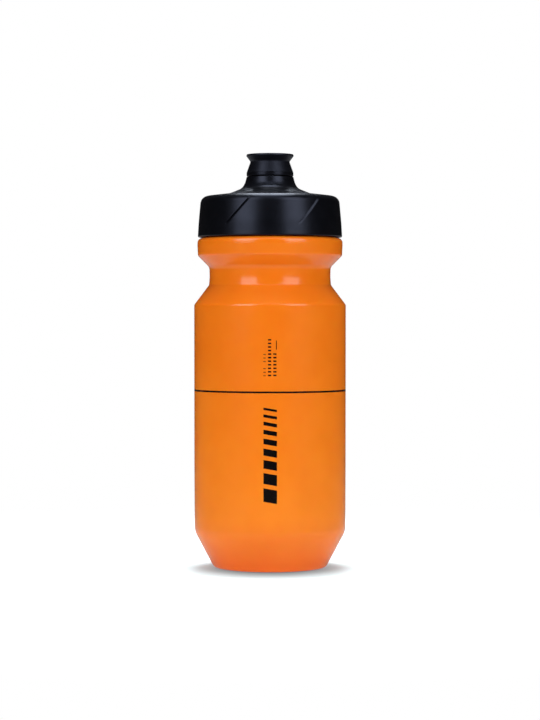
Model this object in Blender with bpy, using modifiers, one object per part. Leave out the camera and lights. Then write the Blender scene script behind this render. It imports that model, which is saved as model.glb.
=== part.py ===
"""Sports squeeze bottle with a screw cap and a push-pull nozzle.

The bottle stands on the floor at the origin, with +Z up its axis and its front towards -Y.
All sizes below are in millimetres and are turned into metres where a mesh is made.
"""

import math

import bmesh
import bpy

MM = 0.001

# ---------------------------------------------------------------- driving dimensions

# Bottle: the 74 mm barrel is the size that a bicycle bottle cage holds.
BARREL_R = 37.0
BARREL_TOP = 128.35
CHAMFER_TOP = 17.5
WAIST_R = 29.4
WAIST_TOP = 146.4
WAIST_LOW = 138.0
RING_R = 35.4
RING_LOW = 152.1
LEDGE = 160.6
BODY_WALL = 1.3
FOOT_INNER_R = 22.2
FOOT_OUTER_R = 27.5
PUNT = 4.2

# Neck finish and thread.
NECK_R = 30.6
NECK_WALL = 1.7
RIM = 175.0
PITCH = 6.0
THREAD_HEIGHT = 1.5
THREAD_ROOT_WIDTH = 2.4
THREAD_CREST_WIDTH = 1.3
THREAD_TURNS = 1.25
THREAD_START = 164.3
THREAD_FLANK_GAP = 0.4

# Cap.
CAP_BOTTOM = 161.05
CAP_BORE_R = 32.6
CAP_ROOF = 177.2
SHOULDER_R = 33.7
SHOULDER = 180.7
CAP_KNEE_R = 34.85
CAP_KNEE = 168.0
COLLAR_R = 11.42
COLLAR_TOP = 190.5
COLLAR_BORE_R = 8.9
PLUG_SKIRT_R = 28.4
SEAT_R = 13.0
SEAT_ROOF = 183.2

# Six slanted grip grooves in the cap's side.
GROOVE_COUNT = 6
GROOVE_MIDDLE = -26.4
GROOVE_SLANT = 22.7
GROOVE_DEPTH = 0.48
GROOVE_TOP = 182.1
GROOVE_LOW = 166.5

# Spout: a fixed stem with a plug, and a nozzle that slides up it.
STEM_R = 6.2
STEM_BORE_R = 4.5
STEM_TOP = 197.0
FLANGE_R = 12.7
FLANGE_TOP = 182.9
FLANGE_LOW = 180.4
PLUG_R = 3.05
PLUG_TOP = 200.0
SLEEVE_LOW = 183.6
SLEEVE_BAND_TOP = 192.6
SLEEVE_TOP = 199.2
OUTLET_R = 3.4
LIP_R = 11.6
LIP_TOP = 201.5

# Round seals: radius of the ring, radius of its section, height.
STEM_O_RING = (10.8, 0.55, 182.4)
NOZZLE_O_RING = (6.4, 0.45, 194.6)

# Parts that touch keep this clearance; round parts have this many sides.
GAP = 0.3
BIG_SIDES = 40
SMALL_SIDES = 24
ARC_STEP = 30.0
MERGE = 0.00002
WELD = 0.00006


# ---------------------------------------------------------------- scene and materials

def clear_scene():
    for obj in list(bpy.data.objects):
        bpy.data.objects.remove(obj, do_unlink=True)


def new_collection(name):
    group = bpy.data.collections.new(name)
    bpy.context.scene.collection.children.link(group)
    return group


def new_material(name, color, roughness):
    mat = bpy.data.materials.new(name)
    mat.use_nodes = True
    shader = mat.node_tree.nodes["Principled BSDF"]
    shader.inputs["Base Color"].default_value = (*color, 1.0)
    shader.inputs["Roughness"].default_value = roughness
    shader.inputs["Metallic"].default_value = 0.0
    return mat


clear_scene()
BOTTLE = new_collection("squeeze_bottle")
CUTTERS = new_collection("cutters")

ORANGE = new_material("soft_orange_plastic", (0.90, 0.20, 0.02), 0.32)
BLACK = new_material("satin_black_plastic", (0.012, 0.013, 0.016), 0.38)
BLACK_SOFT = new_material("soft_black_mouthpiece", (0.010, 0.010, 0.013), 0.55)
RUBBER = new_material("grey_seal_rubber", (0.16, 0.16, 0.17), 0.60)
CLEAR_GREY = new_material("natural_plastic", (0.30, 0.31, 0.32), 0.40)


# ---------------------------------------------------------------- outlines

def unit(dr, dz):
    length = math.hypot(dr, dz)
    return dr / length, dz / length


def fillet_arc(before, corner, after):
    """Points of the arc that rounds one corner, which is (radius, height, fillet)."""
    r, z, fillet = corner
    u = unit(before[0] - r, before[1] - z)
    v = unit(after[0] - r, after[1] - z)
    inner = math.acos(max(-1.0, min(1.0, u[0] * v[0] + u[1] * v[1])))
    turn = math.degrees(math.pi - inner)
    if fillet == 0 or turn < 6.0:
        return [(r, z)]
    bisector = unit(u[0] + v[0], u[1] + v[1])
    reach = fillet / math.sin(inner / 2)
    centre_r = r + bisector[0] * reach
    centre_z = z + bisector[1] * reach
    tangent = fillet / math.tan(inner / 2)
    start = math.atan2(z + u[1] * tangent - centre_z, r + u[0] * tangent - centre_r)
    end = math.atan2(z + v[1] * tangent - centre_z, r + v[0] * tangent - centre_r)
    sweep = (end - start + math.pi) % (2 * math.pi) - math.pi
    steps = max(1, round(turn / ARC_STEP)) if fillet > 1.0 else 1
    points = []
    for i in range(steps + 1):
        angle = start + sweep * i / steps
        points.append((centre_r + fillet * math.cos(angle), centre_z + fillet * math.sin(angle)))
    return points


def rounded(corners, closed):
    """Outline (radius, height) through the corners, with an arc at each filleted corner."""
    points = []
    count = len(corners)
    for i, corner in enumerate(corners):
        if not closed and i in (0, count - 1):
            points.append(corner[:2])
        else:
            points += fillet_arc(corners[i - 1], corner, corners[(i + 1) % count])
    return points


def inset(corners, wall):
    """The corners of the inner surface, a wall's thickness inside an outer outline."""
    result = []
    for i in range(1, len(corners) - 1):
        r, z, fillet = corners[i]
        d1 = unit(r - corners[i - 1][0], z - corners[i - 1][1])
        d2 = unit(corners[i + 1][0] - r, corners[i + 1][1] - z)
        n1 = (d1[1], -d1[0])
        n2 = (d2[1], -d2[0])
        scale = wall / (1 + n1[0] * n2[0] + n1[1] * n2[1])
        convex = d1[0] * d2[1] - d1[1] * d2[0] < 0
        inner_fillet = max(fillet - wall, 0.4) if convex else fillet + wall
        result.append((r + (n1[0] + n2[0]) * scale, z + (n1[1] + n2[1]) * scale, inner_fillet))
    last_r, last_z, last_fillet = corners[-1]
    result.append((last_r, last_z + wall, last_fillet))
    return result


# ---------------------------------------------------------------- solids

def link(obj, material, group=BOTTLE):
    group.objects.link(obj)
    if material:
        obj.data.materials.append(material)
    if group is CUTTERS:
        obj.hide_render = True
        obj.display_type = "WIRE"
    return obj


def smooth(obj):
    obj.data.shade_smooth()
    obj.data.set_sharp_from_angle(angle=math.radians(35))


def turned(name, outline, sides, closed, material, group=BOTTLE):
    """A solid of revolution. The outline runs down the outer side and up the inner one."""
    mesh = bpy.data.meshes.new(name)
    verts = [(r * MM, 0.0, z * MM) for r, z in outline]
    edges = [(i, i + 1) for i in range(len(verts) - 1)]
    if closed:
        edges.append((len(verts) - 1, 0))
    mesh.from_pydata(verts, edges, [])
    obj = link(bpy.data.objects.new(name, mesh), material, group)
    screw = obj.modifiers.new("turn", "SCREW")
    screw.axis = "Z"
    screw.angle = 2 * math.pi
    screw.steps = sides
    screw.render_steps = sides
    screw.use_merge_vertices = True
    screw.merge_threshold = MERGE
    screw.use_smooth_shade = True
    return obj


def loft(name, sections, group):
    """A closed solid through a row of sections, each with the same number of points."""
    shape = bmesh.new()
    rings = []
    for section in sections:
        rings.append([shape.verts.new((x * MM, y * MM, z * MM)) for x, y, z in section])
    for ring, after in zip(rings, rings[1:]):
        for i in range(len(ring)):
            j = (i + 1) % len(ring)
            shape.faces.new((ring[i], ring[j], after[j], after[i]))
    shape.faces.new(list(reversed(rings[0])))
    shape.faces.new(rings[-1])
    bmesh.ops.recalc_face_normals(shape, faces=shape.faces)
    mesh = bpy.data.meshes.new(name)
    shape.to_mesh(mesh)
    shape.free()
    return link(bpy.data.objects.new(name, mesh), None, group)


def combine(obj, other, operation):
    """Join another solid to this one, or cut it out of it."""
    boolean = obj.modifiers.new(operation.lower() + "_" + other.name, "BOOLEAN")
    boolean.operation = operation
    boolean.solver = "EXACT"
    boolean.object = other


def weld(obj):
    """Merge the points that the joining left almost on top of each other."""
    tidy = obj.modifiers.new("weld", "WELD")
    tidy.merge_threshold = WELD


def thread_ridge(name, wall_r, outward, z_start, first_step):
    """A right-hand thread ridge on a wall, which fades into the wall at both ends.

    Its steps fall on the wall's own facets. It stands outward from a neck, or inward in a cap.
    """
    side = 1.0 if outward else -1.0
    sunk = wall_r - side * 0.4
    steps = round(THREAD_TURNS * BIG_SIDES)
    fade = 4
    half_root = THREAD_ROOT_WIDTH / 2
    half_crest = THREAD_CREST_WIDTH / 2
    sections = []
    for i in range(steps + 1):
        strength = min(1.0, i / fade, (steps - i) / fade)
        crest_r = sunk + side * (0.15 + (THREAD_HEIGHT + 0.25) * strength)
        angle = 2 * math.pi * (first_step + i) / BIG_SIDES
        z = z_start + PITCH * i / BIG_SIDES
        c, s = math.cos(angle), math.sin(angle)
        sections.append([
            (sunk * c, sunk * s, z - half_root),
            (sunk * c, sunk * s, z + half_root),
            (crest_r * c, crest_r * s, z + half_crest),
            (crest_r * c, crest_r * s, z - half_crest),
        ])
    return loft(name, sections, CUTTERS)


# ---------------------------------------------------------------- bottle body

def make_bottle_body():
    """Blow-moulded shell: foot ring and punt, barrel, waist, ring under the cap, neck."""
    outer = [
        (NECK_R, RIM, 0.5),
        (NECK_R, LEDGE, 0.6),
        (RING_R - 0.05, LEDGE, 2.2),
        (RING_R + 0.05, LEDGE - 3.4, 0),
        (RING_R - 0.2, RING_LOW, 1.4),
        (WAIST_R + 0.15, WAIST_TOP, 3.2),
        (WAIST_R, 142.0, 0),
        (WAIST_R + 0.5, WAIST_LOW, 1.6),
        (BARREL_R + 0.05, BARREL_TOP, 2.0),
        (BARREL_R, 50.0, 0),
        (BARREL_R - 0.15, CHAMFER_TOP, 6.5),
        (FOOT_OUTER_R, 0.0, 2.4),
        (FOOT_INNER_R, 0.0, 1.6),
        (17.5, PUNT - 0.6, 5.0),
        (0.0, PUNT, 0),
    ]
    bore_r = NECK_R - NECK_WALL
    inner = inset(outer, BODY_WALL)
    inner[0] = (bore_r, LEDGE - BODY_WALL, 1.2)
    mouth = [(bore_r, RIM, 0.4)]
    corners = list(reversed(inner)) + mouth + outer
    body = turned("bottle_body", rounded(corners, False), BIG_SIDES, False, ORANGE)
    ridge = thread_ridge("neck_thread", NECK_R, True, THREAD_START, 0)
    combine(body, ridge, "UNION")
    weld(body)
    return body


# ---------------------------------------------------------------- cap

def cap_side_radius(z):
    """Radius of the cap's tapered side wall at a height, before its shoulder rounds in."""
    return CAP_KNEE_R + (SHOULDER_R - CAP_KNEE_R) * (z - CAP_KNEE) / (SHOULDER - CAP_KNEE)


def groove_cutter(index):
    """A V-shaped cutter along one slanted groove, of even depth above a short rise at its foot.

    The wall on the groove's right is wide and shallow, and the one on its left is steep.
    """
    reach = 1.6
    steep = 0.3
    shallow = 3.0
    stations = 12
    middle = GROOVE_MIDDLE + index * 360.0 / GROOVE_COUNT
    sections = []
    for i in range(stations + 1):
        z = GROOVE_LOW + (GROOVE_TOP - GROOVE_LOW) * i / stations
        along = (z - GROOVE_LOW) / (SHOULDER - GROOVE_LOW)
        azimuth = math.radians(middle + GROOVE_SLANT * (along - 0.5))
        depth = GROOVE_DEPTH * min(1.0, 8.0 * along) - 0.25 * max(0.0, 1 - 8 * along)
        floor_r = cap_side_radius(z) - depth
        section = []
        for across, out in ((0.0, 0.0), (shallow * reach, reach), (-steep * reach, reach)):
            r = floor_r + out
            angle = azimuth + across / r
            section.append((r * math.sin(angle), -r * math.cos(angle), z))
        sections.append(section)
    return loft(f"groove_cutter_{index + 1}", sections, CUTTERS)


def make_screw_cap():
    """Screw cap: skirt with its thread, roof with a plug skirt, stem seat and collar."""
    skirt_low = 172.6
    skirt_inner_r = PLUG_SKIRT_R - 2.1
    corners = [
        (COLLAR_R, COLLAR_TOP, 0.4),
        (12.1, 187.8, 0),
        (13.45, 185.0, 4.5),
        (20.0, 182.35, 9.0),
        (SHOULDER_R, SHOULDER, 3.8),
        (CAP_KNEE_R, CAP_KNEE, 0),
        (35.25, CAP_BOTTOM, 0.5),
        (CAP_BORE_R + 0.6, CAP_BOTTOM, 0),
        (CAP_BORE_R, CAP_BOTTOM + 0.9, 0),
        (CAP_BORE_R, CAP_ROOF, 1.0),
        (PLUG_SKIRT_R, CAP_ROOF, 0),
        (PLUG_SKIRT_R - 0.8, skirt_low, 0.5),
        (skirt_inner_r, skirt_low, 0.4),
        (skirt_inner_r, 179.2, 1.5),
        (14.9, 180.6, 1.0),
        (14.9, 178.8, 0.3),
        (SEAT_R + 0.3, 178.8, 0),
        (FLANGE_R - GAP, 179.4, 0),
        (FLANGE_R - GAP, 179.8, 0),
        (SEAT_R, FLANGE_LOW - 0.1, 0),
        (SEAT_R, SEAT_ROOF, 0),
        (COLLAR_BORE_R, SEAT_ROOF, 0),
        (COLLAR_BORE_R, COLLAR_TOP, 0.4),
    ]
    cap = turned("screw_cap", rounded(corners, True), BIG_SIDES, True, BLACK)
    ridge_offset = (THREAD_ROOT_WIDTH + THREAD_CREST_WIDTH) / 2 - 0.18 + THREAD_FLANK_GAP
    first_step = 6
    start = THREAD_START - ridge_offset + PITCH * first_step / BIG_SIDES
    ridge = thread_ridge("cap_thread", CAP_BORE_R, False, start, first_step)
    combine(cap, ridge, "UNION")
    weld(cap)
    for index in range(GROOVE_COUNT):
        combine(cap, groove_cutter(index), "DIFFERENCE")
    return cap


def make_cap_gasket():
    """Flat sealing washer between the bottle's rim and the cap's roof."""
    inner_r = PLUG_SKIRT_R + 0.4
    outer_r = 31.3
    low = RIM + GAP
    top = CAP_ROOF - GAP
    corners = [(outer_r, top, 0), (outer_r, low, 0), (inner_r, low, 0), (inner_r, top, 0)]
    return turned("cap_gasket", rounded(corners, True), BIG_SIDES, True, RUBBER)


# ---------------------------------------------------------------- spout

def make_spout_stem():
    """Fixed stem, snapped into the cap from below, with a plug held by three ribs."""
    groove_r = 5.6
    corners = [
        (STEM_R, STEM_TOP, 0.4),
        (STEM_R, 195.4, 0),
        (groove_r, 195.4, 0),
        (groove_r, 193.8, 0),
        (STEM_R, 193.8, 0),
        (STEM_R, 192.5, 0),
        (STEM_R + 0.65, 192.0, 0),
        (STEM_R + 0.65, 191.4, 0),
        (STEM_R, 191.2, 0),
        (STEM_R, FLANGE_TOP, 0.4),
        (9.9, FLANGE_TOP, 0),
        (9.9, 181.6, 0),
        (11.7, 181.6, 0),
        (11.7, FLANGE_TOP, 0),
        (FLANGE_R, FLANGE_TOP, 0.3),
        (FLANGE_R, FLANGE_LOW, 0.4),
        (STEM_BORE_R + 0.9, FLANGE_LOW, 0),
        (STEM_BORE_R, FLANGE_LOW + 1.2, 0),
        (STEM_BORE_R, STEM_TOP, 0),
    ]
    stem = turned("spout_stem", rounded(corners, True), SMALL_SIDES, True, CLEAR_GREY)
    plug_corners = [
        (0.0, PLUG_TOP, 0),
        (PLUG_R, PLUG_TOP - 0.4, 0.5),
        (PLUG_R, 197.7, 0),
        (2.4, 196.9, 0),
        (2.4, 189.0, 0.6),
        (0.0, 189.0, 0),
    ]
    plug = turned("plug", rounded(plug_corners, False), SMALL_SIDES, False, None, CUTTERS)
    for index in range(3):
        combine(plug, stem_rib(index), "UNION")
    combine(stem, plug, "UNION")
    return stem


def stem_rib(index):
    """One of the three radial ribs that hold the plug inside the stem."""
    inner_r, outer_r = 1.2, 5.2
    thickness = 1.2
    low, top = 189.8, 195.8
    shape = bmesh.new()
    bmesh.ops.create_cube(shape, size=1.0)
    size = ((outer_r - inner_r) * MM, thickness * MM, (top - low) * MM)
    bmesh.ops.scale(shape, vec=size, verts=shape.verts)
    middle = ((inner_r + outer_r) / 2 * MM, 0.0, (low + top) / 2 * MM)
    bmesh.ops.translate(shape, vec=middle, verts=shape.verts)
    name = f"rib_{index + 1}"
    mesh = bpy.data.meshes.new(name)
    shape.to_mesh(mesh)
    shape.free()
    rib = link(bpy.data.objects.new(name, mesh), None, CUTTERS)
    rib.rotation_euler.z = math.radians(90 + 120 * index)
    return rib


def make_o_ring(name, size):
    """A round rubber ring, lying relaxed in its groove."""
    ring_r, section_r, z = size
    bpy.ops.mesh.primitive_torus_add(
        major_segments=SMALL_SIDES,
        minor_segments=6,
        major_radius=ring_r * MM,
        minor_radius=section_r * MM,
        location=(0.0, 0.0, z * MM),
    )
    ring = bpy.context.object
    ring.name = name
    ring.data.name = name
    for group in list(ring.users_collection):
        group.objects.unlink(ring)
    link(ring, RUBBER)
    smooth(ring)
    return ring


def make_nozzle_sleeve():
    """Hard sleeve of the push-pull nozzle, with the band that lands on the cap's collar."""
    band_low = COLLAR_TOP + GAP
    corners = [
        (8.0, SLEEVE_TOP, 0.3),
        (8.0, SLEEVE_BAND_TOP, 0),
        (COLLAR_R, SLEEVE_BAND_TOP, 0.25),
        (COLLAR_R, band_low, 0.3),
        (COLLAR_BORE_R - GAP, band_low, 0),
        (COLLAR_BORE_R - GAP, SLEEVE_LOW, 0.3),
        (6.6, SLEEVE_LOW, 0),
        (6.6, SLEEVE_LOW + 1.2, 0),
        (7.2, SLEEVE_LOW + 1.7, 0),
        (7.2, SLEEVE_TOP - 1.2, 0),
        (OUTLET_R, SLEEVE_TOP - 1.2, 0),
        (OUTLET_R, SLEEVE_TOP, 0.2),
    ]
    return turned("nozzle_sleeve", rounded(corners, True), SMALL_SIDES, True, BLACK)


def make_mouthpiece():
    """Soft flared mouthpiece moulded over the sleeve."""
    corners = [
        (8.0, LIP_TOP - 0.05, 0),
        (LIP_R - 0.2, LIP_TOP, 0.35),
        (LIP_R, LIP_TOP - 0.85, 0.35),
        (9.5, 197.9, 0.9),
        (11.35, SLEEVE_BAND_TOP + GAP, 0.5),
        (8.0 + GAP, SLEEVE_BAND_TOP + GAP, 0),
        (8.0 + GAP, SLEEVE_TOP + GAP, 0),
        (4.4, SLEEVE_TOP + GAP, 0),
        (4.4, 200.3, 0.4),
        (6.0, LIP_TOP - 0.25, 0.6),
    ]
    return turned("mouthpiece", rounded(corners, True), SMALL_SIDES, True, BLACK_SOFT)


# ---------------------------------------------------------------- assembly

def joint_empty(name, parent):
    """An empty on the bottle's axis, which a moving group hangs from."""
    empty = bpy.data.objects.new(name, None)
    empty.empty_display_size = 20 * MM
    BOTTLE.objects.link(empty)
    empty.parent = parent
    return empty


make_bottle_body()
gasket = make_cap_gasket()
cap_group = [
    make_screw_cap(),
    make_spout_stem(),
    make_o_ring("stem_o_ring", STEM_O_RING),
    make_o_ring("nozzle_o_ring", NOZZLE_O_RING),
]
nozzle_group = [make_nozzle_sleeve(), make_mouthpiece()]

lift_axis = joint_empty("cap_lift_axis", None)
turn_axis = joint_empty("cap_turn_axis", lift_axis)
slide_axis = joint_empty("nozzle_slide_axis", turn_axis)
gasket.parent = lift_axis
for piece in cap_group:
    piece.parent = turn_axis
for piece in nozzle_group:
    piece.parent = slide_axis
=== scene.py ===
"""Looks of the sports squeeze bottle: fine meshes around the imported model, materials, studio.

Outlines are (radius, height, fillet) in millimetres, as in the part's own drawing, and the
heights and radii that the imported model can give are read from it.
"""

import math

import bpy
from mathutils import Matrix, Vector


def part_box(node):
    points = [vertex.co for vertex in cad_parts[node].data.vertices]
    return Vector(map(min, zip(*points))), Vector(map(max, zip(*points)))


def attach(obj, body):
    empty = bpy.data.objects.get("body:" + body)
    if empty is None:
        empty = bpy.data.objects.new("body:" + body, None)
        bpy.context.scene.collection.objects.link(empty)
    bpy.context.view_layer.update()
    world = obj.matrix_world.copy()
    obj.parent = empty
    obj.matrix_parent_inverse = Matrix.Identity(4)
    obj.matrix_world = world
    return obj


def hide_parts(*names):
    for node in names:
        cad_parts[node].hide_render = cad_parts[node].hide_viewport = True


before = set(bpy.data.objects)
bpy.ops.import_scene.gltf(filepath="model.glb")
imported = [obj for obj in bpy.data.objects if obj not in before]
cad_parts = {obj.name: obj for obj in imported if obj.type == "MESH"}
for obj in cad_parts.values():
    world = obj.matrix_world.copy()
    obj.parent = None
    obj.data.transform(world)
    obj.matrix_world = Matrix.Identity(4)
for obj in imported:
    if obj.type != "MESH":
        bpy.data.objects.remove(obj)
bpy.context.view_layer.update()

MM = 0.001

# ---------------------------------------------------------------- sizes, millimetres


def box_mm(node):
    low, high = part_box(node)
    return low / MM, high / MM


_, body_high = box_mm("bottle_body")
cap_low, cap_high = box_mm("screw_cap")
gasket_low, gasket_high = box_mm("cap_gasket")
stem_low, stem_high = box_mm("spout_stem")
sleeve_low, sleeve_high = box_mm("nozzle_sleeve")
_, mouth_high = box_mm("mouthpiece")

PARTING_ROOM = 0.08
BARREL_R = body_high.x - PARTING_ROOM
WAIST_FOOT = 137.75
BARREL_TOP = 128.1
BARREL_MIDDLE = 50.0
CHAMFER_TOP = 17.5
RIM = body_high.z
LEDGE = 160.6
CAP_BOTTOM = cap_low.z
COLLAR_TOP = cap_high.z
STEM_PLUG_TOP = stem_high.z
LIP_TOP = mouth_high.z
SLEEVE_TOP = sleeve_high.z

BODY_WALL = 1.3
NECK_R = 30.6
NECK_WALL = 1.7
CAP_BORE_R = 32.6
CAP_ROOF = 177.2
SHOULDER_R = 33.7
SHOULDER = 180.7
COLLAR_R = 11.42
COLLAR_BORE_R = 8.9
PLUG_SKIRT_R = 28.4
SEAT_R = 13.0
SEAT_ROOF = 183.2
FLANGE_R = 12.7
FLANGE_LOW = stem_low.z
BAND_TOP = 192.6
GAP = 0.3
MOUTH_SEAM = 0.03

PITCH = 6.0
THREAD_START = 164.3
THREAD_TURNS = 1.25
CAP_THREAD_DROP = 2.07

COLUMNS = 160
ARC_STEP = 7.0
ROW_STEP = 2.5
CAP_ROW_STEP = 1.0
SUPPORT = 0.25


# ---------------------------------------------------------------- outlines

def unit(dr, dz):
    length = math.hypot(dr, dz)
    return dr / length, dz / length


def fillet_arc(before, corner, after):
    """Points of the arc that rounds one corner of an outline."""
    r, z, fillet = corner
    u = unit(before[0] - r, before[1] - z)
    v = unit(after[0] - r, after[1] - z)
    inner = math.acos(max(-1.0, min(1.0, u[0] * v[0] + u[1] * v[1])))
    turn = math.degrees(math.pi - inner)
    if fillet == 0 or turn < 1.0:
        return [(r, z)]
    bisector = unit(u[0] + v[0], u[1] + v[1])
    reach = fillet / math.sin(inner / 2)
    centre_r = r + bisector[0] * reach
    centre_z = z + bisector[1] * reach
    tangent = fillet / math.tan(inner / 2)
    start = math.atan2(z + u[1] * tangent - centre_z, r + u[0] * tangent - centre_r)
    end = math.atan2(z + v[1] * tangent - centre_z, r + v[0] * tangent - centre_r)
    sweep = (end - start + math.pi) % (2 * math.pi) - math.pi
    steps = max(2, round(turn / ARC_STEP))
    points = []
    for i in range(steps + 1):
        angle = start + sweep * i / steps
        points.append((centre_r + fillet * math.cos(angle), centre_z + fillet * math.sin(angle)))
    return points


def straight(a, b, step):
    """Points between two outline points, with one close to each end to hold the shading."""
    length = math.dist(a, b)
    if length < 4 * SUPPORT:
        return []
    inner = length - 2 * SUPPORT
    pieces = max(1, round(inner / step))
    shares = [(SUPPORT + inner * i / pieces) / length for i in range(pieces + 1)]
    return [(a[0] + (b[0] - a[0]) * t, a[1] + (b[1] - a[1]) * t) for t in shares]


def outline(corners, closed, step=ROW_STEP):
    """Finely divided outline through the corners."""
    runs = []
    count = len(corners)
    for i, corner in enumerate(corners):
        if not closed and i in (0, count - 1):
            runs.append([corner[:2]])
        else:
            runs.append(fillet_arc(corners[i - 1], corner, corners[(i + 1) % count]))
    points = []
    for i, run in enumerate(runs):
        points += run
        if closed or i < count - 1:
            points += straight(run[-1], runs[(i + 1) % count][0], step)
    return points


def inset(corners, wall):
    """The corners of the inner surface, a wall's thickness inside an outer outline."""
    result = []
    for i in range(1, len(corners) - 1):
        r, z, fillet = corners[i]
        d1 = unit(r - corners[i - 1][0], z - corners[i - 1][1])
        d2 = unit(corners[i + 1][0] - r, corners[i + 1][1] - z)
        n1 = (d1[1], -d1[0])
        n2 = (d2[1], -d2[0])
        scale = wall / (1 + n1[0] * n2[0] + n1[1] * n2[1])
        convex = d1[0] * d2[1] - d1[1] * d2[0] < 0
        inner_fillet = max(fillet - wall, 0.4) if convex else fillet + wall
        result.append((r + (n1[0] + n2[0]) * scale, z + (n1[1] + n2[1]) * scale, inner_fillet))
    last_r, last_z, last_fillet = corners[-1]
    result.append((last_r, last_z + wall, last_fillet))
    return result


def normals(points, closed):
    """Outward direction at each outline point."""
    count = len(points)
    result = []
    for i in range(count):
        before = points[i - 1] if closed or i > 0 else points[i]
        after = points[(i + 1) % count] if closed or i < count - 1 else points[i]
        dr, dz = unit(after[0] - before[0], after[1] - before[1])
        result.append((-dz, dr))
    return result


# ---------------------------------------------------------------- meshes

def mesh_object(name, verts, faces):
    mesh = bpy.data.meshes.new(name)
    mesh.from_pydata([(x * MM, y * MM, z * MM) for x, y, z in verts], [], faces)
    mesh.validate()
    obj = bpy.data.objects.new(name, mesh)
    bpy.context.scene.collection.objects.link(obj)
    return obj


def even_columns(count=COLUMNS):
    return [2 * math.pi * i / count for i in range(count)]


def revolve(name, points, closed, angles, place=None):
    """A turned mesh. place(row, column), where given, returns that vertex's (angle, radius, height)."""
    verts = []
    rows = []
    for j, (r, z) in enumerate(points):
        if r == 0.0:
            rows.append([len(verts)])
            verts.append((0.0, 0.0, z))
            continue
        row = []
        for i, angle in enumerate(angles):
            a, radius, height = place(j, i) if place else (angle, r, z)
            row.append(len(verts))
            verts.append((radius * math.cos(a), radius * math.sin(a), height))
        rows.append(row)
    faces = []
    count = len(angles)
    pairs = list(zip(rows, rows[1:]))
    if closed:
        pairs.append((rows[-1], rows[0]))
    for upper, lower in pairs:
        for i in range(count):
            k = (i + 1) % count
            if len(upper) == 1:
                faces.append((upper[0], lower[i], lower[k]))
            elif len(lower) == 1:
                faces.append((upper[i], lower[0], upper[k]))
            else:
                faces.append((upper[i], lower[i], lower[k], upper[k]))
    return mesh_object(name, verts, faces)


def smooth(obj, angle=38):
    obj.data.shade_smooth()
    obj.data.set_sharp_from_angle(angle=math.radians(angle))
    return obj


def unite(obj, other):
    """Join another closed mesh to this one for good."""
    boolean = obj.modifiers.new("unite", "BOOLEAN")
    boolean.operation = "UNION"
    boolean.solver = "EXACT"
    boolean.object = other
    graph = bpy.context.evaluated_depsgraph_get()
    joined = bpy.data.meshes.new_from_object(obj.evaluated_get(graph))
    obj.modifiers.clear()
    obj.data = joined
    bpy.data.objects.remove(other, do_unlink=True)
    return obj


def thread_ridge(name, wall_r, outward, z_start, start_angle):
    """A right-hand thread ridge with a rounded crest, fading into its wall at both ends."""
    side = 1.0 if outward else -1.0
    sunk = wall_r - side * 0.4
    height = 1.5
    per_turn = 144
    steps = round(THREAD_TURNS * per_turn)
    fade = per_turn // 10
    # Across the ridge: offset along the axis, and share of the height.
    shape = [(-1.25, 0.0), (-1.17, 0.15), (-0.76, 0.86), (-0.62, 0.97), (-0.45, 1.0)]
    shape += [(-z, share) for z, share in reversed(shape)]
    verts = []
    for i in range(steps + 1):
        strength = min(1.0, i / fade, (steps - i) / fade)
        strength = math.sin(strength * math.pi / 2)
        angle = start_angle + 2 * math.pi * i / per_turn
        z = z_start + PITCH * i / per_turn
        ring = [(-1.25, sunk), *((dz, wall_r + side * (height * (share * strength) - 0.12 * (1 - strength)))
                for dz, share in shape), (1.25, sunk)]
        for dz, r in ring:
            verts.append((r * math.cos(angle), r * math.sin(angle), z + dz))
    size = len(shape) + 2
    faces = []
    for i in range(steps):
        for k in range(size):
            n = (k + 1) % size
            quad = (i * size + k, i * size + n, (i + 1) * size + n, (i + 1) * size + k)
            faces.append(quad if outward else quad[::-1])
    first = tuple(range(size))
    last = tuple(steps * size + k for k in range(size))
    faces.append(first[::-1] if outward else first)
    faces.append(last if outward else last[::-1])
    return mesh_object(name, verts, faces)


# ---------------------------------------------------------------- material nodes

def shader_material(name, color, roughness, subsurface=0.0, specular=0.5, sheen=(1.0, 1.0, 1.0)):
    mat = bpy.data.materials.new(name)
    mat.use_nodes = True
    shader = mat.node_tree.nodes["Principled BSDF"]
    shader.inputs["Base Color"].default_value = (*color, 1.0)
    shader.inputs["Roughness"].default_value = roughness
    shader.inputs["Metallic"].default_value = 0.0
    shader.inputs["Specular IOR Level"].default_value = specular
    shader.inputs["Specular Tint"].default_value = (*sheen, 1.0)
    if subsurface:
        shader.inputs["Subsurface Weight"].default_value = subsurface
        shader.inputs["Subsurface Radius"].default_value = (1.0, 0.35, 0.12)
        shader.inputs["Subsurface Scale"].default_value = 0.004
    return mat, shader


def node(mat, kind, **inputs):
    new = mat.node_tree.nodes.new(kind)
    for key, value in inputs.items():
        new.inputs[key].default_value = value
    return new


def wire(mat, source, output, target, socket):
    mat.node_tree.links.new(source.outputs[output], target.inputs[socket])


def noise(mat, coords, scale, detail=3.0, rough=0.55):
    tex = node(mat, "ShaderNodeTexNoise", Scale=scale, Detail=detail, Roughness=rough)
    wire(mat, coords, "Object", tex, "Vector")
    return tex


def spread(mat, source, output, low, high):
    """Map a 0 to 1 value onto a range."""
    ranged = node(mat, "ShaderNodeMapRange")
    ranged.inputs["From Min"].default_value = 0.3
    ranged.inputs["From Max"].default_value = 0.7
    ranged.inputs["To Min"].default_value = low
    ranged.inputs["To Max"].default_value = high
    wire(mat, source, output, ranged, "Value")
    return ranged


def tint(mat, shader, factor, dark, light):
    mix = mat.node_tree.nodes.new("ShaderNodeMix")
    mix.data_type = "RGBA"
    mix.inputs["A"].default_value = (*dark, 1.0)
    mix.inputs["B"].default_value = (*light, 1.0)
    wire(mat, factor, "Result", mix, "Factor")
    mat.node_tree.links.new(mix.outputs["Result"], shader.inputs["Base Color"])
    return mix


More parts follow.
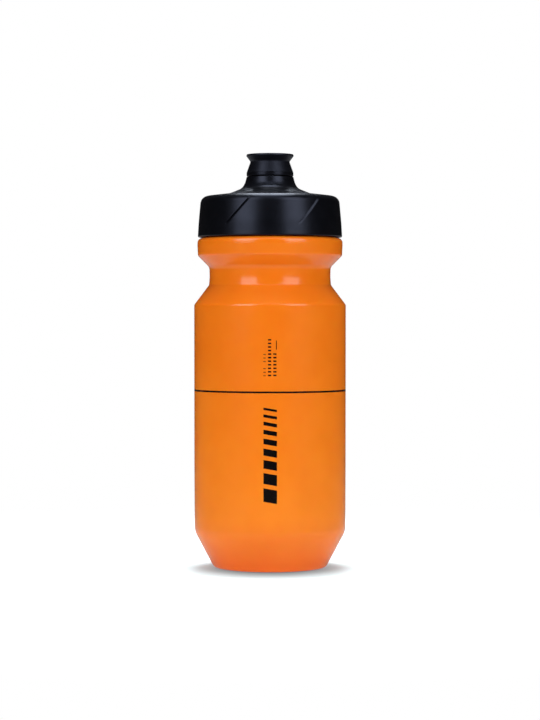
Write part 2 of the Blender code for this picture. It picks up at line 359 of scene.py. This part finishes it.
def bump(mat, shader, layers):
    """Stack bumps: each layer is (noise node, strength, distance in metres)."""
    previous = None
    for tex, strength, distance in layers:
        new = node(mat, "ShaderNodeBump", Strength=strength, Distance=distance)
        wire(mat, tex, "Fac", new, "Height")
        if previous:
            wire(mat, previous, "Normal", new, "Normal")
        previous = new
    wire(mat, previous, "Normal", shader, "Normal")


def plastic(name, dark, light, rough_low, rough_high, grain, grain_depth, wave_depth, **kind):
    """Moulded plastic: uneven colour and gloss, a fine grain, and slow waves in the surface."""
    mat, shader = shader_material(name, light, (rough_low + rough_high) / 2, **kind)
    coords = node(mat, "ShaderNodeTexCoord")
    cloud = noise(mat, coords, 45.0, 2.0)
    patch = noise(mat, coords, 160.0, 4.0)
    fine = noise(mat, coords, grain, 2.0)
    tint(mat, shader, spread(mat, cloud, "Fac", 0.0, 1.0), dark, light)
    rough = spread(mat, patch, "Fac", rough_low, rough_high)
    wire(mat, rough, "Result", shader, "Roughness")
    bump(mat, shader, [(cloud, 1.0, wave_depth), (fine, 1.0, grain_depth)])
    return mat


# Height in metres over which the painted floor bounce light and painted foot shade are spread.
PAINTED_LIGHT_HEIGHT = 0.20


def paint_bounce_light_and_foot_shade(mat, shader):
    """Vary the colour up the wall as painted light: paler low on the barrel as painted floor bounce light,
    deeper at the foot as painted contact shade.
    """
    coords = node(mat, "ShaderNodeTexCoord")
    split = mat.node_tree.nodes.new("ShaderNodeSeparateXYZ")
    wire(mat, coords, "Object", split, "Vector")
    height = node(mat, "ShaderNodeMapRange")
    height.inputs["From Max"].default_value = PAINTED_LIGHT_HEIGHT
    wire(mat, split, "Z", height, "Value")
    painted_light_ramp = mat.node_tree.nodes.new("ShaderNodeValToRGB")
    stops = painted_light_ramp.color_ramp
    # Painted contact shade at the foot, painted floor bounce light low on the barrel, no change from
    # mid-barrel up.
    stops.elements[0].position = 0.015
    stops.elements[0].color = (0.90, 0.74, 0.70, 1.0)
    stops.elements[1].position = 0.55
    stops.elements[1].color = (1.0, 1.0, 1.0, 1.0)
    stop = stops.elements.new(0.13)
    stop.color = (1.02, 1.18, 1.15, 1.0)
    wire(mat, height, "Result", painted_light_ramp, "Fac")
    mix = mat.node_tree.nodes.new("ShaderNodeMix")
    mix.data_type = "RGBA"
    mix.blend_type = "MULTIPLY"
    mix.inputs["Factor"].default_value = 1.0
    socket = shader.inputs["Base Color"]
    mat.node_tree.links.new(socket.links[0].from_socket, mix.inputs["A"])
    mat.node_tree.links.new(painted_light_ramp.outputs["Color"], mix.inputs["B"])
    mat.node_tree.links.new(mix.outputs["Result"], socket)


def dress(obj, mat, body, replaces=()):
    obj.data.materials.clear()
    obj.data.materials.append(mat)
    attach(obj, body)
    if replaces:
        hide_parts(*replaces)
    return obj


ORANGE = plastic(
    "orange_polyethylene", (0.90, 0.183, 0.0055), (0.95, 0.204, 0.0085), 0.15, 0.20,
    1500.0, 0.000003, 0.00010, subsurface=0.35, specular=0.46,
)
# The orange gets painted floor bounce light low on the barrel and painted shade at the foot.
paint_bounce_light_and_foot_shade(ORANGE, ORANGE.node_tree.nodes["Principled BSDF"])
BLACK = plastic(
    "satin_black_polypropylene", (0.0012, 0.0012, 0.0018), (0.0020, 0.0020, 0.0028), 0.28, 0.34,
    2600.0, 0.000005, 0.00003, specular=0.31, sheen=(0.62, 0.70, 1.0),
)
SOFT_BLACK = plastic(
    "soft_black_elastomer", (0.0014, 0.0014, 0.0020), (0.0024, 0.0024, 0.0034), 0.40, 0.50,
    2200.0, 0.000008, 0.00002, specular=0.34, sheen=(0.62, 0.70, 1.0),
)
SEAL = plastic(
    "grey_silicone", (0.080, 0.080, 0.088), (0.10, 0.10, 0.11), 0.50, 0.62,
    1800.0, 0.000010, 0.00002,
)
INK = plastic(
    "black_printing_ink", (0.0015, 0.0010, 0.0010), (0.0030, 0.0020, 0.0018), 0.22, 0.32,
    3000.0, 0.000002, 0.00001, specular=0.15,
)


# ---------------------------------------------------------------- bottle body

def make_bottle():
    outer = [
        (NECK_R, RIM, 0.5),
        (NECK_R, LEDGE, 0.6),
        (BARREL_R - 1.65, LEDGE, 2.2),
        (BARREL_R - 1.55, 157.2, 6.0),
        (BARREL_R - 1.8, 152.1, 1.4),
        (29.55, 146.4, 3.2),
        (29.45, 141.5, 20.0),
        (29.75, WAIST_FOOT, 1.6),
        (BARREL_R + 0.03, BARREL_TOP, 2.0),
        (BARREL_R, BARREL_MIDDLE, 60.0),
        (BARREL_R - 0.15, CHAMFER_TOP, 9.0),
        (27.5, 0.0, 2.4),
        (22.2, 0.0, 1.6),
        (17.5, 3.6, 5.0),
        (0.0, 4.2, 0),
    ]
    bore_r = NECK_R - NECK_WALL
    inner = inset(outer, BODY_WALL)
    inner[0] = (bore_r, LEDGE - BODY_WALL, 1.2)
    corners = list(reversed(inner)) + [(bore_r, RIM, 0.4)] + outer
    points = outline(corners, False)
    outward = normals(points, False)

    # The mould's parting line: a fine raised line down both sides.
    seam = (-0.30, -0.12, 0.12, 0.30)
    angles = even_columns()
    for side in (0.0, 180.0):
        angles += [math.radians(side + step) % (2 * math.pi) for step in seam]
    angles.sort()
    raised = [
        0.04 if min(abs(math.sin(a)), 1.0) < math.sin(math.radians(0.2)) else 0.0 for a in angles
    ]
    rim_row = max(range(len(points)), key=lambda j: points[j][1])

    def place(row, column):
        r, z = points[row]
        lift = raised[column] if row > rim_row and 1.0 < z < LEDGE - 1.0 else 0.0
        n = outward[row]
        return angles[column], r + n[0] * lift, z + n[1] * lift

    body = revolve("bottle_shell", points, False, angles, place)
    unite(body, thread_ridge("neck_thread", NECK_R, True, THREAD_START, 0.0))
    return dress(smooth(body), ORANGE, "bottle", ["bottle_body"])


# ---------------------------------------------------------------- screw cap

GROOVES = 6
GROOVE_MIDDLE = math.radians(-26.4 - 90.0)
GROOVE_SLANT = math.radians(22.7)
GROOVE_LOW = 166.5
GROOVE_RUN_IN = 1.8
GROOVE_FADE = (177.8, 179.8)
GROOVE_DEPTH = 0.48


def ramp(value, low, high):
    t = max(0.0, min(1.0, (value - low) / (high - low)))
    return t * t * (3 - 2 * t)


def make_cap():
    skirt_low = 172.6
    skirt_inner_r = PLUG_SKIRT_R - 2.1
    corners = [
        (COLLAR_R, COLLAR_TOP, 0.4),
        (12.1, 187.8, 4.0),
        (13.45, 185.0, 4.5),
        (20.0, 182.35, 9.0),
        (SHOULDER_R, SHOULDER, 3.8),
        (34.85, 168.0, 60.0),
        (35.25, CAP_BOTTOM, 0.5),
        (CAP_BORE_R + 0.6, CAP_BOTTOM, 0.1),
        (CAP_BORE_R, CAP_BOTTOM + 0.9, 0.2),
        (CAP_BORE_R, CAP_ROOF, 1.0),
        (PLUG_SKIRT_R, CAP_ROOF, 0.2),
        (PLUG_SKIRT_R - 0.8, skirt_low, 0.5),
        (skirt_inner_r, skirt_low, 0.4),
        (skirt_inner_r, 179.2, 1.5),
        (14.9, 180.6, 1.0),
        (14.9, 178.8, 0.3),
        (SEAT_R + 0.3, 178.8, 0.1),
        (FLANGE_R - GAP, 179.4, 0.1),
        (FLANGE_R - GAP, 179.8, 0.1),
        (SEAT_R, FLANGE_LOW - 0.1, 0.1),
        (SEAT_R, SEAT_ROOF, 0.1),
        (COLLAR_BORE_R, SEAT_ROOF, 0.2),
        (COLLAR_BORE_R, COLLAR_TOP, 0.4),
    ]
    points = outline(corners, True, CAP_ROW_STEP)
    outward = normals(points, True)

    # Columns follow the slanted grooves down the side wall. Each groove has a steep wall on
    # its left and a wide shallow one on its right; numbers are millimetres from its floor.
    steep, wide = 0.14, 1.44
    offsets = [-1.5, -0.7, -0.32, -steep, -0.07, 0.0, 0.08, 0.4, 0.8, 1.1, wide - 0.12, wide]
    offsets += [wide + 0.12, wide + 0.45, wide + 1.2]
    between = 18
    wall_r = 34.3
    columns = []
    for g in range(GROOVES):
        base = g * 2 * math.pi / GROOVES
        columns += [(base + u / wall_r, u) for u in offsets]
        start = offsets[-1] / wall_r
        end = 2 * math.pi / GROOVES + offsets[0] / wall_r
        for k in range(1, between):
            columns.append((base + start + (end - start) * k / between, None))

    side_end = min(range(len(points)), key=lambda j: points[j][1])
    count = len(points)

    def slant(row):
        """How far the columns have leaned over at this row, as a share of the groove's slant."""
        if row <= side_end:
            return max(-0.5, min(0.5, (points[row][1] - GROOVE_LOW) / (SHOULDER - GROOVE_LOW) - 0.5))
        return -0.5 + (row - side_end) / (count - side_end)

    def depth(row, u):
        z = points[row][1]
        if u is None or row > side_end or z < GROOVE_LOW:
            return 0.0
        strength = ramp(z, GROOVE_LOW, GROOVE_LOW + GROOVE_RUN_IN) * (1 - ramp(z, *GROOVE_FADE))
        share = 1 + u / steep if u < 0 else 1 - u / wide
        return GROOVE_DEPTH * strength * max(0.0, share)

    def place(row, column):
        r, z = points[row]
        angle, u = columns[column]
        sink = depth(row, u)
        n = outward[row]
        lean = GROOVE_MIDDLE + angle + GROOVE_SLANT * slant(row)
        return lean, r - n[0] * sink, z - n[1] * sink

    cap = revolve("screw_cap_shell", points, True, [a for a, _ in columns], place)
    first = math.radians(54.0)
    start = THREAD_START - CAP_THREAD_DROP + PITCH * first / (2 * math.pi)
    unite(cap, thread_ridge("cap_thread", CAP_BORE_R, False, start, first))
    return dress(smooth(cap), BLACK, "cap", ["screw_cap"])


# ---------------------------------------------------------------- seals and spout

def make_gasket():
    outer_r, inner_r = gasket_high.x, PLUG_SKIRT_R + 0.4
    low, top = gasket_low.z, gasket_high.z
    corners = [(outer_r, top, 0.25), (outer_r, low, 0.25), (inner_r, low, 0.25), (inner_r, top, 0.25)]
    ring = revolve("gasket_ring", outline(corners, True), True, even_columns())
    return dress(smooth(ring), SEAL, "gasket", ["cap_gasket"])


def make_o_ring(name, cad_node):
    """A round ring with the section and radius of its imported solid."""
    low, high = box_mm(cad_node)
    section = (high.x - low.x) / 2
    middle_z = (low.z + high.z) / 2
    section_r = 0.55 if cad_node == "stem_o_ring" else 0.45
    ring_r = section - section_r
    steps = 20
    points = []
    for i in range(steps):
        a = math.pi / 2 - 2 * math.pi * i / steps
        points.append((ring_r + section_r * math.cos(a), middle_z + section_r * math.sin(a)))
    ring = revolve(name, points, True, even_columns(96))
    return dress(smooth(ring, 60), SEAL, "cap", [cad_node])


def make_stem():
    stem_r, bore_r, groove_r, top = 6.2, 4.5, 5.6, 197.0
    flange_top = 182.9
    corners = [
        (stem_r, top, 0.4),
        (stem_r, 195.4, 0.1),
        (groove_r, 195.4, 0.1),
        (groove_r, 193.8, 0.1),
        (stem_r, 193.8, 0.1),
        (stem_r, 192.5, 0.1),
        (stem_r + 0.65, 192.0, 0.1),
        (stem_r + 0.65, 191.4, 0.1),
        (stem_r, 191.2, 0.1),
        (stem_r, flange_top, 0.4),
        (9.9, flange_top, 0.1),
        (9.9, 181.6, 0.1),
        (11.7, 181.6, 0.1),
        (11.7, flange_top, 0.1),
        (FLANGE_R, flange_top, 0.3),
        (FLANGE_R, FLANGE_LOW, 0.4),
        (bore_r + 0.9, FLANGE_LOW, 0.2),
        (bore_r, FLANGE_LOW + 1.2, 0.3),
        (bore_r, top, 0.2),
    ]
    stem = revolve("stem_tube", outline(corners, True), True, even_columns(96))
    plug_corners = [
        (0.0, STEM_PLUG_TOP, 0),
        (3.05, STEM_PLUG_TOP - 0.4, 0.5),
        (3.05, 197.7, 0.3),
        (2.4, 196.9, 0.2),
        (2.4, 189.0, 0.6),
        (0.0, 189.0, 0),
    ]
    unite(stem, revolve("plug", outline(plug_corners, False), False, even_columns(64)))
    for index in range(3):
        unite(stem, stem_rib(index))
    return dress(smooth(stem), BLACK, "cap", ["spout_stem"])


def stem_rib(index):
    """A radial rib between the plug and the stem's bore, with its lower edge thinned."""
    angle = math.radians(90 + 120 * index)
    rows = [(189.8, 0.25), (190.3, 0.6), (195.4, 0.6), (195.8, 0.35)]
    verts = []
    for z, half in rows:
        for r, side in ((1.2, -half), (5.2, -half), (5.2, half), (1.2, half)):
            x = r * math.cos(angle) - side * math.sin(angle)
            y = r * math.sin(angle) + side * math.cos(angle)
            verts.append((x, y, z))
    faces = [(3, 2, 1, 0)]
    for j in range(len(rows) - 1):
        for k in range(4):
            n = (k + 1) % 4
            faces.append((4 * j + k, 4 * j + n, 4 * j + 4 + n, 4 * j + 4 + k))
    top = 4 * (len(rows) - 1)
    faces.append((top, top + 1, top + 2, top + 3))
    return mesh_object(f"rib_{index + 1}", verts, faces)


def make_sleeve():
    band_low = COLLAR_TOP + GAP
    bottom = sleeve_low.z
    corners = [
        (8.0, SLEEVE_TOP, 0.3),
        (8.0, BAND_TOP, 0.2),
        (COLLAR_R, BAND_TOP, 0.08),
        (COLLAR_R, band_low, 0.3),
        (COLLAR_BORE_R - GAP, band_low, 0.2),
        (COLLAR_BORE_R - GAP, bottom, 0.3),
        (6.6, bottom, 0.1),
        (6.6, bottom + 1.2, 0.1),
        (7.2, bottom + 1.7, 0.1),
        (7.2, SLEEVE_TOP - 1.2, 0.2),
        (3.4, SLEEVE_TOP - 1.2, 0.1),
        (3.4, SLEEVE_TOP, 0.2),
    ]
    sleeve = revolve("sleeve", outline(corners, True), True, even_columns(128))
    return dress(smooth(sleeve), BLACK, "nozzle", ["nozzle_sleeve"])


def make_mouthpiece():
    lip_r = mouth_high.x
    corners = [
        (8.0, LIP_TOP - 0.05, 2.0),
        (lip_r - 0.2, LIP_TOP, 0.35),
        (lip_r, LIP_TOP - 0.85, 0.35),
        (9.5, 197.9, 0.9),
        (COLLAR_R - MOUTH_SEAM, BAND_TOP + MOUTH_SEAM, 0.08),
        (8.3, BAND_TOP + MOUTH_SEAM, 0.1),
        (8.3, SLEEVE_TOP + GAP, 0.2),
        (4.4, SLEEVE_TOP + GAP, 0.2),
        (4.4, 200.3, 0.4),
        (6.0, LIP_TOP - 0.25, 0.6),
    ]
    lip = revolve("soft_mouthpiece", outline(corners, True), True, even_columns(128))
    return dress(smooth(lip), SOFT_BLACK, "nozzle", ["mouthpiece"])


# ---------------------------------------------------------------- printing on the barrel

INK_THICKNESS = 0.03


def barrel_radius(z):
    """Radius of the barrel's outside at a height."""
    if z > BARREL_MIDDLE:
        return BARREL_R + 0.03 * (z - BARREL_MIDDLE) / (BARREL_TOP - BARREL_MIDDLE)
    return BARREL_R - 0.15 * (BARREL_MIDDLE - z) / (BARREL_MIDDLE - CHAMFER_TOP)


def ink_patch(verts, faces, left, right, low, high, drop):
    """Add one bar of ink, bent round the barrel. Its right end sits lower by drop."""
    across = max(1, round((right - left) / 0.8))
    first = len(verts)
    for i in range(across + 1):
        x = left + (right - left) * i / across
        sag = drop * (x - left) / (right - left)
        for z in (low - sag, high - sag):
            for out in (-0.04, INK_THICKNESS):
                r = barrel_radius(z) + out
                verts.append((r * math.sin(x / r), -r * math.cos(x / r), z))
    for i in range(across):
        a = first + 4 * i
        b = a + 4
        for k, n in ((0, 2), (2, 3), (3, 1), (1, 0)):
            faces.append((a + k, b + k, b + n, a + n)[::-1])
    faces.append((first, first + 2, first + 3, first + 1))
    end = first + 4 * across
    faces.append((end, end + 1, end + 3, end + 2))


def make_printed_line():
    z = 86.5
    half = 0.42
    r = barrel_radius(z)
    corners = [(r + INK_THICKNESS, z + half, 0), (r + INK_THICKNESS, z - half, 0)]
    corners += [(r - 0.04, z - half, 0), (r - 0.04, z + half, 0)]
    line = revolve("printed_line", [c[:2] for c in corners], True, even_columns(160))
    return dress(smooth(line), INK, "bottle")


def make_printed_bars():
    """A stack of slanted bars that thin out towards the top."""
    verts, faces = [], []
    low, high = 33.6, 79.3
    left, right, drop = -3.1, 3.3, 1.1
    count, ratio = 9, 0.80
    share = 0.62
    first = share * (high - low - drop) * (1 - ratio) / (1 - ratio ** count)
    gap = (1 - share) * (high - low - drop) / (count - 1)
    z = low + drop
    for i in range(count):
        thick = first * ratio ** i
        ink_patch(verts, faces, left, right, z, z + thick, drop)
        z += thick + gap
    return dress(mesh_object("printed_bars", verts, faces), INK, "bottle")


def make_printed_ticks():
    """Three columns of small level ticks and a short upright dash."""
    verts, faces = [], []
    low, pitch = 94.2, 1.68
    columns = [
        (-2.6, 0.55, 0.35, (0, 1, 2, 4, 5, 6)),
        (-0.2, 0.75, 0.7, range(11)),
        (2.3, 0.75, 0.7, range(7)),
    ]
    for x, half, thick, rows in columns:
        for row in rows:
            z = low + pitch * row
            ink_patch(verts, faces, x - half, x + half, z, z + thick, 0.0)
    ink_patch(verts, faces, 2.85, 3.2, 106.8, 111.0, 0.0)
    return dress(mesh_object("printed_ticks", verts, faces), INK, "bottle")


# ---------------------------------------------------------------- studio

def area_light(name, location, target, width, height, power, color=(1.0, 1.0, 1.0)):
    light = bpy.data.lights.new(name, "AREA")
    light.shape = "RECTANGLE"
    light.size = width
    light.size_y = height
    light.energy = power
    light.color = color
    obj = bpy.data.objects.new(name, light)
    bpy.context.scene.collection.objects.link(obj)
    obj.location = location
    direction = Vector(target) - Vector(location)
    obj.rotation_euler = direction.to_track_quat("-Z", "Y").to_euler()
    obj.visible_camera = False
    return obj


def make_world():
    """White behind the bottle for the camera; the bottle itself sees a dim room."""
    world = bpy.data.worlds.new("studio")
    bpy.context.scene.world = world
    world.use_nodes = True
    tree = world.node_tree
    tree.nodes.clear()
    coords = tree.nodes.new("ShaderNodeTexCoord")
    split = tree.nodes.new("ShaderNodeSeparateXYZ")
    rampn = tree.nodes.new("ShaderNodeValToRGB")
    stops = rampn.color_ramp
    stops.elements[0].position = 0.0
    stops.elements[0].color = (0.55, 0.55, 0.55, 1.0)
    stops.elements[1].position = 1.0
    stops.elements[1].color = (0.06, 0.06, 0.07, 1.0)
    for place, grey in ((0.42, 0.50), (0.475, 0.02), (0.54, 0.01), (0.70, 0.03)):
        stop = stops.elements.new(place)
        stop.color = (grey, grey, grey * 1.05, 1.0)
    scale = tree.nodes.new("ShaderNodeMapRange")
    scale.inputs["From Min"].default_value = -1.0
    scale.inputs["From Max"].default_value = 1.0
    room = tree.nodes.new("ShaderNodeBackground")
    white = tree.nodes.new("ShaderNodeBackground")
    white.inputs["Color"].default_value = (1.0, 1.0, 1.0, 1.0)
    path = tree.nodes.new("ShaderNodeLightPath")
    mix = tree.nodes.new("ShaderNodeMixShader")
    out = tree.nodes.new("ShaderNodeOutputWorld")
    tree.links.new(coords.outputs["Generated"], split.inputs[0])
    tree.links.new(split.outputs["Z"], scale.inputs["Value"])
    tree.links.new(scale.outputs["Result"], rampn.inputs["Fac"])
    tree.links.new(rampn.outputs["Color"], room.inputs["Color"])
    tree.links.new(path.outputs["Is Camera Ray"], mix.inputs["Fac"])
    tree.links.new(room.outputs["Background"], mix.inputs[1])
    tree.links.new(white.outputs["Background"], mix.inputs[2])
    tree.links.new(mix.outputs["Shader"], out.inputs["Surface"])


def make_floor():
    """A white table, clear from below, that fades into the white surroundings.

    The shadow at the foot is mostly this floor's own colour, darker towards a point a little in
    front of the axis. Only the camera sees that: the bottle is lit by, and reflects, plain greys.
    """
    size = 1.6
    mesh = bpy.data.meshes.new("floor")
    corners = [(-size, -size, 0), (size, -size, 0), (size, size, 0), (-size, size, 0)]
    mesh.from_pydata(corners, [], [(0, 1, 2, 3)])
    floor = bpy.data.objects.new("floor", mesh)
    bpy.context.scene.collection.objects.link(floor)
    floor.location.z = -0.0001
    mat = bpy.data.materials.new("white_table")
    mat.use_nodes = True
    tree = mat.node_tree
    tree.nodes.clear()
    coords = tree.nodes.new("ShaderNodeTexCoord")
    length = tree.nodes.new("ShaderNodeVectorMath")
    length.operation = "LENGTH"
    shifted = tree.nodes.new("ShaderNodeVectorMath")
    shifted.operation = "DISTANCE"
    shifted.inputs[1].default_value = (0.0, -0.010, 0.0)
    fade = tree.nodes.new("ShaderNodeMapRange")
    fade.interpolation_type = "SMOOTHSTEP"
    fade.inputs["From Min"].default_value = 0.12
    fade.inputs["From Max"].default_value = 0.36
    near = tree.nodes.new("ShaderNodeValToRGB")
    near.color_ramp.interpolation = "B_SPLINE"
    near.color_ramp.elements[0].position = 0.024
    near.color_ramp.elements[0].color = (0.11, 0.165, 0.18, 1.0)
    near.color_ramp.elements[1].position = 0.0510
    near.color_ramp.elements[1].color = (0.86, 0.955, 0.975, 1.0)
    path = tree.nodes.new("ShaderNodeLightPath")
    plain = tree.nodes.new("ShaderNodeMix")
    plain.data_type = "RGBA"
    plain.inputs["A"].default_value = (0.64, 0.64, 0.64, 1.0)
    plain.inputs["B"].default_value = (0.33, 0.33, 0.33, 1.0)
    seen = tree.nodes.new("ShaderNodeMix")
    seen.data_type = "RGBA"
    diffuse = tree.nodes.new("ShaderNodeBsdfDiffuse")
    glow = tree.nodes.new("ShaderNodeEmission")
    glow.inputs["Strength"].default_value = 0.68
    lit = tree.nodes.new("ShaderNodeAddShader")
    tree.links.new(coords.outputs["Object"], shifted.inputs[0])
    tree.links.new(shifted.outputs["Value"], near.inputs["Fac"])
    tree.links.new(path.outputs["Is Glossy Ray"], plain.inputs["Factor"])
    tree.links.new(path.outputs["Is Camera Ray"], seen.inputs["Factor"])
    tree.links.new(plain.outputs["Result"], seen.inputs["A"])
    tree.links.new(near.outputs["Color"], seen.inputs["B"])
    tree.links.new(seen.outputs["Result"], diffuse.inputs["Color"])
    tree.links.new(seen.outputs["Result"], glow.inputs["Color"])
    clear = tree.nodes.new("ShaderNodeBsdfTransparent")
    mix = tree.nodes.new("ShaderNodeMixShader")
    out = tree.nodes.new("ShaderNodeOutputMaterial")
    tree.links.new(coords.outputs["Object"], length.inputs[0])
    tree.links.new(length.outputs["Value"], fade.inputs["Value"])
    tree.links.new(fade.outputs["Result"], mix.inputs["Fac"])
    tree.links.new(diffuse.outputs["BSDF"], lit.inputs[0])
    tree.links.new(glow.outputs["Emission"], lit.inputs[1])
    tree.links.new(lit.outputs["Shader"], mix.inputs[1])
    tree.links.new(clear.outputs["BSDF"], mix.inputs[2])
    side = tree.nodes.new("ShaderNodeNewGeometry")
    one_sided = tree.nodes.new("ShaderNodeMixShader")
    tree.links.new(side.outputs["Backfacing"], one_sided.inputs["Fac"])
    tree.links.new(mix.outputs["Shader"], one_sided.inputs[1])
    tree.links.new(clear.outputs["BSDF"], one_sided.inputs[2])
    tree.links.new(one_sided.outputs["Shader"], out.inputs["Surface"])
    mesh.materials.append(mat)


def make_camera():
    """Long lens at a little above half the bottle's height, tipped down slightly."""
    distance, eye, tilt = 1.110, 0.1224, 1.098
    cam = bpy.data.cameras.new("camera")
    cam.sensor_width = 36.0
    cam.lens = 113.5
    obj = bpy.data.objects.new("camera", cam)
    bpy.context.scene.collection.objects.link(obj)
    obj.location = (0.0, -distance, eye)
    obj.rotation_euler = (math.radians(90.0 - tilt), 0.0, 0.0)
    bpy.context.scene.camera = obj


def make_lights():
    """Two softboxes in front, fills beside them, and light from above and behind.

    The fills and the broad light above don't show in reflections. The small lights over the cap
    only make reflections.
    """
    middle = (0.0, 0.0, 0.11)
    for side in (-1, 1):
        azimuth = math.radians(41.0)
        place = (side * math.sin(azimuth), -math.cos(azimuth), 0.66)
        area_light(f"front_{side}", place, middle, 0.66, 0.90, 7.2)
        azimuth = math.radians(55.0)
        place = (side * math.sin(azimuth), -math.cos(azimuth), 0.20)
        fill = area_light(f"fill_{side}", place, middle, 0.8, 0.8, 0.85)
        fill.visible_glossy = False
    cap = (0.0, 0.0, 0.19)
    area_light("top", (0.0, 0.45, 0.80), middle, 0.26, 0.36, 2.8, (0.85, 0.92, 1.0))
    zenith = area_light("zenith", (0.0, 0.10, 0.90), cap, 0.36, 0.36, 3.6, (0.90, 0.95, 1.0))
    zenith.visible_diffuse = False
    front_top = area_light("front_top", (0.0, -0.42, 0.79), cap, 0.36, 0.18, 0.28, (0.90, 0.95, 1.0))
    front_top.visible_diffuse = False
    over = area_light("over", (0.0, 0.12, 0.90), (0.0, 0.0, 0.0), 0.5, 0.5, 5.0)
    over.visible_glossy = False


make_world()
make_floor()
make_camera()
make_lights()
bpy.context.scene.view_settings.view_transform = "Standard"

make_bottle()
make_cap()
make_gasket()
make_o_ring("stem_seal", "stem_o_ring")
make_o_ring("nozzle_seal", "nozzle_o_ring")
make_stem()
make_sleeve()
make_mouthpiece()
make_printed_line()
make_printed_bars()
make_printed_ticks()
